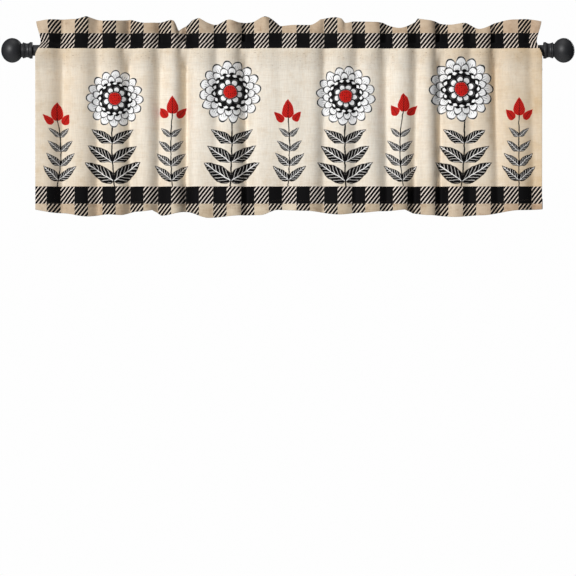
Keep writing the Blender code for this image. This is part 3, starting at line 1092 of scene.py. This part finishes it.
# %% The bloom group
PetalRing = namedtuple("PetalRing", "petals shift tip scallop line veins")
PETAL_RINGS = [  # from the outermost inwards
    PetalRing(16.0, 0.0, 1.00, 0.20, 0.046, 1.0),
    PetalRing(16.0, math.pi / 2, 0.80, 0.17, 0.044, 1.0),
    PetalRing(14.0, 0.4, 0.61, 0.10, 0.500, 0.0),
    PetalRing(9.0, 0.0, 0.42, 0.15, 0.040, 1.0),
]
bench, given, give = new_group(
    "printed_bloom",
    {"X": "Float", "Z": "Float", "Radius": "Float", "Turn": "Float"},
    {"Ink": "Float", "White": "Float", "Red": "Float"},
)
squares = [bench.times(given[name], given[name]) for name in ("X", "Z")]
reach = bench.sum("SQRT", bench.plus(*squares))
out = bench.over(reach, given["Radius"])
angle = bench.plus(bench.sum("ARCTAN2", given["Z"], given["X"]), given["Turn"])
ink, white = 0.0, None
for ring in PETAL_RINGS:
    made = use_group(
        bench,
        "petal_ring",
        Out=out,
        Angle=angle,
        Petals=ring.petals,
        Shift=ring.shift,
        Tip=ring.tip,
        Scallop=ring.scallop,
        Line=ring.line,
        Veins=ring.veins,
    )
    ink = bench.plus(bench.times(ink, bench.flip(made["Mask"])), made["Ink"])
    white = white or made["Mask"]
pearl_around = bench.times(bench.sum("COSINE", bench.times(angle, 16.0)), 0.5)
pearl_out = bench.sum("ABSOLUTE", bench.over(bench.minus(out, 0.515), 0.052))
pearls = bench.below(bench.minus(pearl_out, pearl_around), 0.34, 0.14)
ink = bench.times(ink, bench.flip(pearls))
heart = bench.below(out, 0.21, SOFT)
heart_line = bench.minus(bench.below(out, 0.245, SOFT), heart)
seed_place = bench.vector(bench.over(given["X"], given["Radius"]), bench.over(given["Z"], given["Radius"]))
seeds = bench.add("ShaderNodeTexVoronoi", {"Vector": seed_place, "Scale": 17.0, "Randomness": 0.3})
seed_dots = bench.both(bench.below(seeds.outputs["Distance"], 0.26, 0.08), heart)
ink = bench.either(bench.times(ink, bench.flip(heart)), bench.either(heart_line, seed_dots))
give("Ink", ink)
give("White", white)
give("Red", heart)
print("bloom group with", len(bench.tree.nodes), "nodes")

# %% [markdown]
# A leaf is drawn along its own line: `Along` runs from 0 at the stalk to 1 at the tip. Its edge is a curve of
# `Along`, and its veins are thin white chevrons. Leaves sit in pairs, so the place across is taken without
# its sign, which mirrors one leaf to the other side for nothing. `Dark` says how much of the leaf is black.

# %% The leaf group
bench, given, give = new_group(
    "printed_leaf",
    {"X": "Float", "Z": "Float", "Length": "Float", "Width": "Float", "Angle": "Float", "Dark": "Float"},
    {"Ink": "Float", "White": "Float"},
)
cosine, sine = bench.sum("COSINE", given["Angle"]), bench.sum("SINE", given["Angle"])
along = bench.plus(bench.times(given["X"], cosine), bench.times(given["Z"], sine))
across = bench.minus(bench.times(given["Z"], cosine), bench.times(given["X"], sine))
along, across = bench.over(along, given["Length"]), bench.over(across, given["Length"])
belly = bench.times(bench.sum("SQRT", bench.either(along, 0.0)), bench.flip(along))
edge = bench.times(bench.times(belly, 2.6), given["Width"])
away = bench.sum("ABSOLUTE", across)
leaf = bench.both(bench.below(away, edge, 0.02), bench.below(bench.times(along, -1.0), -0.01, 0.02))
core = bench.both(bench.below(away, bench.minus(edge, 0.030), 0.02), leaf)
midrib = bench.below(away, 0.013, 0.012)
chevrons = bench.sum("FRACT", bench.minus(bench.times(along, 7.0), bench.times(away, 9.0)))
white_share = bench.times(bench.flip(given["Dark"]), 0.5)
chevrons = bench.below(bench.sum("ABSOLUTE", bench.minus(chevrons, 0.5)), white_share, 0.12)
veins = bench.both(bench.either(midrib, chevrons), core)
give("Ink", bench.minus(leaf, veins))
give("White", veins)
print("leaf group with", len(bench.tree.nodes), "nodes")

# %% [markdown]
# The plants group sets the blooms and sprigs along the row. A bloom stands on a stem with leaves in pairs.
# Between two blooms stands a smaller sprig with three red buds. A little slow noise in the place makes every
# line waver as a hand-cut one does.

# %% The plants group
REPEAT = 0.270  # from one bloom to the next
GROUND = LOW_FROM
BLOOM_HEIGHT = 0.216  # of its middle above the lower border
BLOOM_RADIUS = 0.073
SPRIG_HEIGHT = 0.168
STEM = 1.7 * MM
Leaves = namedtuple("Leaves", "first apart count length width angle dark")  # first is the lowest pair's place
BLOOM_LEAVES = Leaves(0.012, 0.044, 3, 0.080, 0.22, 0.60, 0.88)
SPRIG_LEAVES = Leaves(0.014, 0.034, 4, 0.052, 0.20, 0.72, 0.84)
SHRINK = 0.13  # how much shorter each pair is than the one below it

bench, given, give = new_group(
    "printed_plants",
    {"Place": "Vector"},
    {"Ink": "Float", "White": "Float", "Red": "Float"},
)
waver = bench.add("ShaderNodeTexNoise", {"Vector": given["Place"], "Scale": 55.0, "Detail": 2.0})
WAVER = (0.006, 0.006, 0.0)  # how far a line strays, from one side to the other
place = waver.outputs["Color"]
for operation, operand in (("SUBTRACT", (0.5, 0.5, 0.5)), ("MULTIPLY", WAVER), ("ADD", given["Place"])):
    step = bench.add("ShaderNodeVectorMath", {0: place, 1: operand}, operation=operation)
    place = step.outputs[0]
x, z, _ = bench.parts(place)
up = bench.minus(z, GROUND)


def wrapped(offset):
    """(place within one repeat, from its middle, and a number of its own for each repeat)."""
    turn = bench.over(bench.minus(x, offset - REPEAT / 2), REPEAT)
    number = bench.sum("FLOOR", turn)
    local = bench.times(bench.minus(bench.sum("FRACT", turn), 0.5), REPEAT)
    chance = bench.sum("FRACT", bench.plus(bench.times(number, 0.618), 0.31))
    return local, chance


def bowed_stem(local, height, bow, width):
    """(the place across, measured from a bowed stem, and the stem's ink)."""
    share = bench.over(up, height)
    bend = bench.times(bench.times(bench.times(share, bench.flip(share)), 4.0), bow)
    across = bench.minus(local, bend)
    inside = bench.both(bench.below(up, height, 0.6 * MM), bench.below(bench.times(up, -1.0), 0.0, 0.6 * MM))
    return across, bench.both(bench.below(bench.sum("ABSOLUTE", across), width, 0.5 * MM), inside)


def leaf_pairs(across, leaves):
    """Ink and white of the pairs of leaves up a stem."""
    above = bench.over(bench.minus(up, leaves.first), leaves.apart)
    number = bench.both(bench.either(bench.sum("FLOOR", above), 0.0), leaves.count - 1.0)
    return use_group(
        bench,
        "printed_leaf",
        X=bench.sum("ABSOLUTE", across),
        Z=bench.times(bench.minus(above, number), leaves.apart),
        Length=bench.times(bench.flip(bench.times(number, SHRINK)), leaves.length),
        Width=leaves.width,
        Angle=leaves.angle,
        Dark=leaves.dark,
    )


local, chance = wrapped(REPEAT / 2)
height = bench.plus(bench.times(bench.minus(chance, 0.5), 0.026), BLOOM_HEIGHT)
bow = bench.times(bench.minus(chance, 0.45), 0.016)
across, stem = bowed_stem(local, height, bow, STEM)
leaves = leaf_pairs(across, BLOOM_LEAVES)
radius = bench.plus(bench.times(chance, 0.010), BLOOM_RADIUS - 0.006)
bloom = use_group(
    bench,
    "printed_bloom",
    X=local,
    Z=bench.minus(up, height),
    Radius=radius,
    Turn=bench.times(chance, 0.4),
)
local, chance = wrapped(0.0)
sprig_height = bench.plus(bench.times(bench.minus(chance, 0.5), 0.024), SPRIG_HEIGHT)
bow = bench.times(bench.minus(0.5, chance), 0.020)
across, sprig_stem = bowed_stem(local, sprig_height, bow, STEM * 0.75)
sprig_leaves = leaf_pairs(across, SPRIG_LEAVES)
bud_up = bench.minus(up, bench.minus(sprig_height, 0.004))
bud = use_group(bench, "printed_leaf", X=bud_up, Z=local, Length=0.044, Width=0.32, Angle=0.0, Dark=0.8)
bud_shape = bench.plus(bud["Ink"], bud["White"])
side_buds = use_group(
    bench,
    "printed_leaf",
    X=bench.minus(bench.sum("ABSOLUTE", across), 0.012),
    Z=bench.minus(up, bench.minus(sprig_height, 0.012)),
    Length=0.030,
    Width=0.30,
    Angle=0.9,
    Dark=0.8,
)
side_shape = bench.plus(side_buds["Ink"], side_buds["White"])
stems = bench.either(bench.both(stem, bench.flip(bloom["White"])), sprig_stem)
leaf_ink = bench.either(bench.both(leaves["Ink"], bench.flip(bloom["White"])), sprig_leaves["Ink"])
leaf_white = bench.both(bench.either(leaves["White"], sprig_leaves["White"]), bench.flip(bloom["White"]))
ink = bench.either(bench.either(stems, leaf_ink), bench.either(bloom["Ink"], side_buds["White"]))
give("Ink", bench.either(ink, bud["White"]))
give("White", bench.either(bloom["White"], leaf_white))
give("Red", bench.either(bloom["Red"], bench.either(bud_shape, side_shape)))
print("plants group with", len(bench.tree.nodes), "nodes")

# %% [markdown]
# ## Aged paper colour
#
# The ground of the print imitates old paper: warm cream in the middle, browner towards the sides, with soft
# blots and short level flecks. It is also darker in a band just under the upper border and a narrower one
# over the lower border. The tan of the checked squares ages in the same way, and is browner in the header.
# None of it has height.

# %% The ground group
bench, given, give = new_group("aged_ground", {"Place": "Vector"}, {"Color": "Color", "Tan": "Color"})
x, z, _ = bench.parts(given["Place"])
cloudy = bench.noise(given["Place"], 9.0, 4.0, 0.6)
blots = bench.noise(given["Place"], 34.0, 5.0, 0.68)
fibres_across = bench.noise(given["Place"], 1.0, 3.0, 0.6, (26.0, 210.0, 1.0))
fibres_up = bench.noise(given["Place"], 1.0, 3.0, 0.6, (230.0, 30.0, 1.0))
fibres = bench.ramp(bench.plus(fibres_across, fibres_up), 0.72, 1.28)
to_left = bench.ramp(x, -0.20, LEFT, 0.0, 0.42)
to_right = bench.ramp(x, 0.26, RIGHT, 0.0, 0.85)
# darker in a band just under the upper border, and a little over the lower one
under_border = bench.ramp(z, TOP_FROM - 0.040, TOP_FROM, 0.0, 0.30)
over_border = bench.ramp(z, LOW_FROM + 0.05, LOW_FROM, 0.0, 0.16)
sides = bench.plus(bench.plus(to_left, to_right), bench.either(under_border, over_border))
patchy = bench.ramp(cloudy, 0.25, 0.75, 0.5, 1.3)
age = bench.plus(bench.times(sides, patchy), bench.ramp(blots, 0.48, 0.80, 0.0, 0.45))
cream = bench.mix(fibres, srgb(233, 221, 203), srgb(245, 237, 223))
hairs = bench.either(bench.ramp(fibres_across, 0.60, 0.70), bench.ramp(fibres_up, 0.62, 0.72))
cream = bench.mix(bench.times(hairs, 0.30), cream, srgb(186, 168, 142))
aged = bench.mix(bench.ramp(age, 0.0, 1.1), cream, srgb(214, 188, 152))
foxing = bench.noise(given["Place"], 1.0, 2.0, 0.6, (150.0, 400.0, 1.0))  # short level dashes
near_top = bench.ramp(z, TOP_FROM - 0.075, TOP_FROM - 0.005, 0.12, 1.0)
fox_share = bench.times(bench.ramp(foxing, 0.60, 0.72), bench.ramp(blots, 0.40, 0.60, 0.15, 0.85))
give("Color", bench.mix(bench.times(fox_share, near_top), aged, srgb(150, 126, 100)))
tan = bench.mix(bench.ramp(cloudy, 0.34, 0.66), srgb(194, 173, 145), srgb(226, 211, 187))
to_top = bench.ramp(z, LOW_FROM, TOP_FROM, 0.0, 0.30)
browner = bench.either(bench.times(bench.plus(to_left, to_right), 0.75), to_top)
tan = bench.mix(browner, tan, srgb(184, 150, 122))
stain = bench.times(bench.ramp(blots, 0.46, 0.70), bench.ramp(fibres, 0.2, 0.8, 0.25, 0.75))
give("Tan", bench.mix(stain, tan, srgb(156, 124, 94)))
print("ground group with", len(bench.tree.nodes), "nodes")

# %% [markdown]
# ## The two faces of the cloth
#
# The printed face mixes the ground, the border and the plants, in that order, as a printer would lay one
# screen over another. The back of a printed cloth shows the same picture faintly through the weave, so its
# material reads the same groups and keeps only a little of them.

# %% The printed face
def new_material(name, slot_colour):
    made = bpy.data.materials.new(name)
    made.use_nodes = True
    made.diffuse_color = slot_colour
    bench = Bench(made.node_tree)
    return made, bench, made.node_tree.nodes["Principled BSDF"]


INK = srgb(13, 12, 13)
WHITE_INK = srgb(248, 247, 246)
RED_INK = srgb(205, 36, 30)


def printed_colour(bench, place):
    ground = use_group(bench, "aged_ground", Place=place)
    check = use_group(bench, "checked_border", Place=place)
    plants = use_group(bench, "printed_plants", Place=place)
    panel = bench.flip(check["Border"])
    colour = bench.mix(check["Plain"], ground["Color"], ground["Tan"])
    colour = bench.mix(bench.times(check["Pale"], 0.60), colour, srgb(240, 227, 219))
    colour = bench.mix(bench.times(plants["White"], panel), colour, WHITE_INK)
    colour = bench.mix(bench.times(plants["Red"], panel), colour, RED_INK)
    ink = bench.either(check["Ink"], bench.times(plants["Ink"], panel))
    return bench.mix(ink, colour, INK), ink


def print_place(bench):
    return bench.add("ShaderNodeUVMap", uv_map="print_place").outputs["UV"]


printed, bench, shader = new_material("printed_face", (0.80, 0.72, 0.60, 1.0))
place = print_place(bench)
colour, ink = printed_colour(bench, place)
weave = use_group(bench, "linen_weave", Place=place, Slub_Strength=0.30)
shade = bench.plus(1.0, bench.times(weave["Slub"], 0.60))
toned = bench.add("ShaderNodeHueSaturation", {"Color": colour, "Value": shade})
bench.feed(shader.inputs["Base Color"], toned.outputs["Color"])
bench.feed(shader.inputs["Roughness"], bench.ramp(ink, 0.0, 1.0, 0.88, 0.76))
shader.inputs["Specular IOR Level"].default_value = 0.08
bump = bench.add("ShaderNodeBump", {"Height": weave["Height"], "Distance": 0.12 * MM, "Strength": 0.6})
bench.feed(shader.inputs["Normal"], bump.outputs["Normal"])
print("printed face with", len(bench.tree.nodes), "nodes")

# %% The plain back
plain, bench, shader = new_material("cloth_back", (0.82, 0.76, 0.66, 1.0))
place = print_place(bench)
colour, ink = printed_colour(bench, place)
weave = use_group(bench, "linen_weave", Place=place, Slub_Strength=0.40)
shown = bench.mix(0.16, srgb(232, 226, 214), colour)
shade = bench.plus(1.0, bench.times(weave["Slub"], 0.6))
toned = bench.add("ShaderNodeHueSaturation", {"Color": shown, "Value": shade})
bench.feed(shader.inputs["Base Color"], toned.outputs["Color"])
bench.feed(shader.inputs["Roughness"], bench.ramp(weave["Height"], 0.0, 1.0, 0.92, 0.84))
shader.inputs["Specular IOR Level"].default_value = 0.12
bump = bench.add("ShaderNodeBump", {"Height": weave["Height"], "Distance": 0.12 * MM, "Strength": 0.6})
bench.feed(shader.inputs["Normal"], bump.outputs["Normal"])
mesh.materials.append(printed)
mesh.materials.append(plain)
mesh.polygons.foreach_set("material_index", material_of_face)
print("the cloth's faces: printed", face_count, "and plain", back_count + rim_count)

# %% [markdown]
# ## Thread
#
# A sewer changes thread to suit the cloth: a dull brown on the checked borders, which sinks into both the tan
# and the black squares, and a cream one on the plain panel between them. The height tells the two apart. The
# thread is twisted from fine strands. The twist is too small to model, so it is a slanting bump with a
# slightly uneven colour.

# %% The thread
thread, bench, shader = new_material("sewing_thread", (0.11, 0.08, 0.06, 1.0))
where = bench.add("ShaderNodeTexCoord").outputs["Object"]
fuzz = bench.noise(where, 2600.0, 2.0, 0.6)
x, y, z = bench.parts(where)
twist = bench.sum("SINE", bench.times(bench.plus(x, z), 9000.0))
brown = bench.mix(bench.ramp(fuzz, 0.3, 0.7), srgb(86, 74, 60), srgb(108, 94, 78))
cream = bench.mix(bench.ramp(fuzz, 0.3, 0.7), srgb(214, 200, 176), srgb(234, 222, 202))
on_panel = bench.both(bench.below(z, TOP_FROM, 1 * MM), bench.flip(bench.below(z, LOW_FROM, 1 * MM)))
bench.feed(shader.inputs["Base Color"], bench.mix(on_panel, brown, cream))
bench.feed(shader.inputs["Roughness"], bench.ramp(fuzz, 0.2, 0.8, 0.55, 0.75))
bump = bench.add("ShaderNodeBump", {"Height": twist, "Distance": 0.03 * MM, "Strength": 0.5})
bench.feed(shader.inputs["Normal"], bump.outputs["Normal"])
stitching.data.materials.append(thread)
print("thread material on", stitching.name)

# %% [markdown]
# ## Black paint
#
# The rod is powder coated and the finials are dipped, both in satin black. Such paint has a faint orange-peel
# surface, picks up a trace of dust where it faces up, and is never equally smooth all over. The rod and the
# finials share one group, with more peel on the finials and more dust on the rod.

# %% The paint group
bench, given, give = new_group(
    "satin_paint",
    {"Peel": "Float", "Dust": "Float"},
    {"Color": "Color", "Roughness": "Float", "Height": "Float"},
)
where = bench.add("ShaderNodeTexCoord").outputs["Object"]
peel = bench.noise(where, 480.0, 2.0, 0.5)
patches = bench.noise(where, 38.0, 4.0, 0.6)
grains = bench.noise(where, 1500.0, 2.0, 0.6)
_, _, facing_up = bench.parts(bench.add("ShaderNodeNewGeometry").outputs["Normal"])
settled = bench.times(bench.ramp(facing_up, 0.2, 1.0), bench.ramp(grains, 0.42, 0.72))
settled = bench.times(bench.times(settled, bench.ramp(patches, 0.3, 0.7, 0.4, 1.0)), given["Dust"])
paint = bench.mix(bench.ramp(patches, 0.35, 0.7), srgb(34, 34, 36), srgb(42, 42, 44))
give("Color", bench.mix(settled, paint, srgb(120, 116, 110)))
give("Roughness", bench.plus(bench.ramp(patches, 0.3, 0.7, 0.47, 0.57), bench.times(settled, 0.3)))
give("Height", bench.times(peel, given["Peel"]))
print("paint group with", len(bench.tree.nodes), "nodes")

# %% The rod's and the finials' paint
def painted(name, peel, dust):
    made, bench, shader = new_material(name, (0.02, 0.02, 0.022, 1.0))
    coat = use_group(bench, "satin_paint", Peel=peel, Dust=dust)
    bench.feed(shader.inputs["Base Color"], coat["Color"])
    bench.feed(shader.inputs["Roughness"], coat["Roughness"])
    bump = bench.add("ShaderNodeBump", {"Height": coat["Height"], "Distance": 0.08 * MM, "Strength": 0.4})
    bench.feed(shader.inputs["Normal"], bump.outputs["Normal"])
    return made


rod_paint = painted("rod_paint", 0.5, 0.35)
finial_paint = painted("finial_paint", 1.0, 0.25)
curtain_rod.data.materials.append(rod_paint)
for name in ("finial_left_turned", "finial_right_turned"):
    bpy.data.objects[name].data.materials.append(finial_paint)
print("paint on the rod and both finials")

# %% [markdown]
# ## The stage
#
# The valance hangs against plain pale surroundings. The camera looks straight at it from far off with a long
# lens, so that upright folds stay upright. It is aimed below the valance, because the object hangs in the
# upper part of the picture, with the window's height left free under it.

# %% The camera
wide = cad_box[1][0] - cad_box[0][0]
VIEW_WIDTH = wide * 1.0041
VIEW_DISTANCE = 9.0
HEADROOM = 37 * MM
camera_data = bpy.data.cameras.new("camera")
camera_data.lens = camera_data.sensor_width * VIEW_DISTANCE / VIEW_WIDTH
camera_data.clip_end = 50
camera = bpy.data.objects.new("camera", camera_data)
camera.location = (0.0, -VIEW_DISTANCE, cad_box[1][2] + HEADROOM - VIEW_WIDTH / 2)
camera.rotation_euler = (math.pi / 2, 0.0, 0.0)
bpy.context.scene.collection.objects.link(camera)
bpy.context.scene.camera = camera
print(f"camera at height {camera.location.z:.3f} m with a {camera_data.lens:.0f} mm lens")

# %% The floor
FLOOR_HEIGHT = -2.05  # below a valance that hangs at the top of a window
FLOOR_RADIUS = 2.4
FLOOR_CORNERS = 64
turns = [math.tau * k / FLOOR_CORNERS for k in range(FLOOR_CORNERS)]
corners = [(FLOOR_RADIUS * math.cos(turn), FLOOR_RADIUS * math.sin(turn), FLOOR_HEIGHT) for turn in turns]
floor_mesh = bpy.data.meshes.new("floor")
floor_mesh.from_pydata(corners, [], [tuple(range(FLOOR_CORNERS))])
floor = bpy.data.objects.new("floor", floor_mesh)
bpy.context.scene.collection.objects.link(floor)
floor_paint, bench, shader = new_material("pale_floor", (0.9, 0.9, 0.9, 1.0))
shader.inputs["Base Color"].default_value = (0.86, 0.86, 0.85, 1.0)
shader.inputs["Roughness"].default_value = 0.8
floor_mesh.materials.append(floor_paint)
print("floor at", FLOOR_HEIGHT, "m")

# %% [markdown]
# ### Light
#
# Folds show only when light comes from the side, so a large soft lamp stands to the left, in front and a
# little above. It brightens the slopes that face it and leaves the others to the dim light from all round. A
# weak lamp overhead lights the header's edge and the floor. Another, behind on the right, lights the back.
#
# The surroundings are white to the camera but give less light than they show, or the folds would wash out.
# What they give is a little cool, because shadows on cream cloth look greyer than the cloth itself.

# %% Lamps and surroundings
CLOTH_MIDDLE = (0.0, 0.0, -0.15)
Lamp = namedtuple("Lamp", "name place aim size power")
LAMPS = [
    Lamp("key_left", (-7.8, -13.4, 3.6), CLOTH_MIDDLE, (2.8, 3.4), 2390.0),
    Lamp("overhead", (0.0, -0.4, 4.0), (0.0, -0.4, -2.0), (3.0, 3.0), 40.0),
    Lamp("behind_right", (2.6, 4.6, 0.9), CLOTH_MIDDLE, (2.0, 2.0), 150.0),
]
for lamp in LAMPS:
    data = bpy.data.lights.new(lamp.name, "AREA")
    data.shape = "RECTANGLE"
    data.size, data.size_y = lamp.size
    data.energy = lamp.power
    x, y, z = np.array(lamp.aim) - np.array(lamp.place)
    obj = bpy.data.objects.new(lamp.name, data)
    obj.location = lamp.place
    pitch = math.atan2(z, math.hypot(x, y))
    obj.rotation_euler = (math.pi / 2 + pitch, 0.0, math.atan2(y, x) - math.pi / 2)
    bpy.context.scene.collection.objects.link(obj)

SHOWN, PURE_WHITE = 0.99, (1.0, 1.0, 1.0, 1.0)
GIVEN, COOL_WHITE = 0.06, (0.80, 0.94, 1.14, 1.0)
world = bpy.data.worlds.new("pale_surroundings")
bpy.context.scene.world = world
world.use_nodes = True
bench = Bench(world.node_tree)
back = world.node_tree.nodes["Background"]
seen = bench.add("ShaderNodeLightPath").outputs["Is Camera Ray"]
bench.feed(back.inputs["Color"], bench.mix(seen, COOL_WHITE, PURE_WHITE))
bench.feed(back.inputs["Strength"], bench.ramp(seen, 0.0, 1.0, GIVEN, SHOWN))
bpy.context.scene.view_settings.view_transform = "Standard"
print("lamps:", [o.name for o in bpy.data.objects if o.type == "LIGHT"])
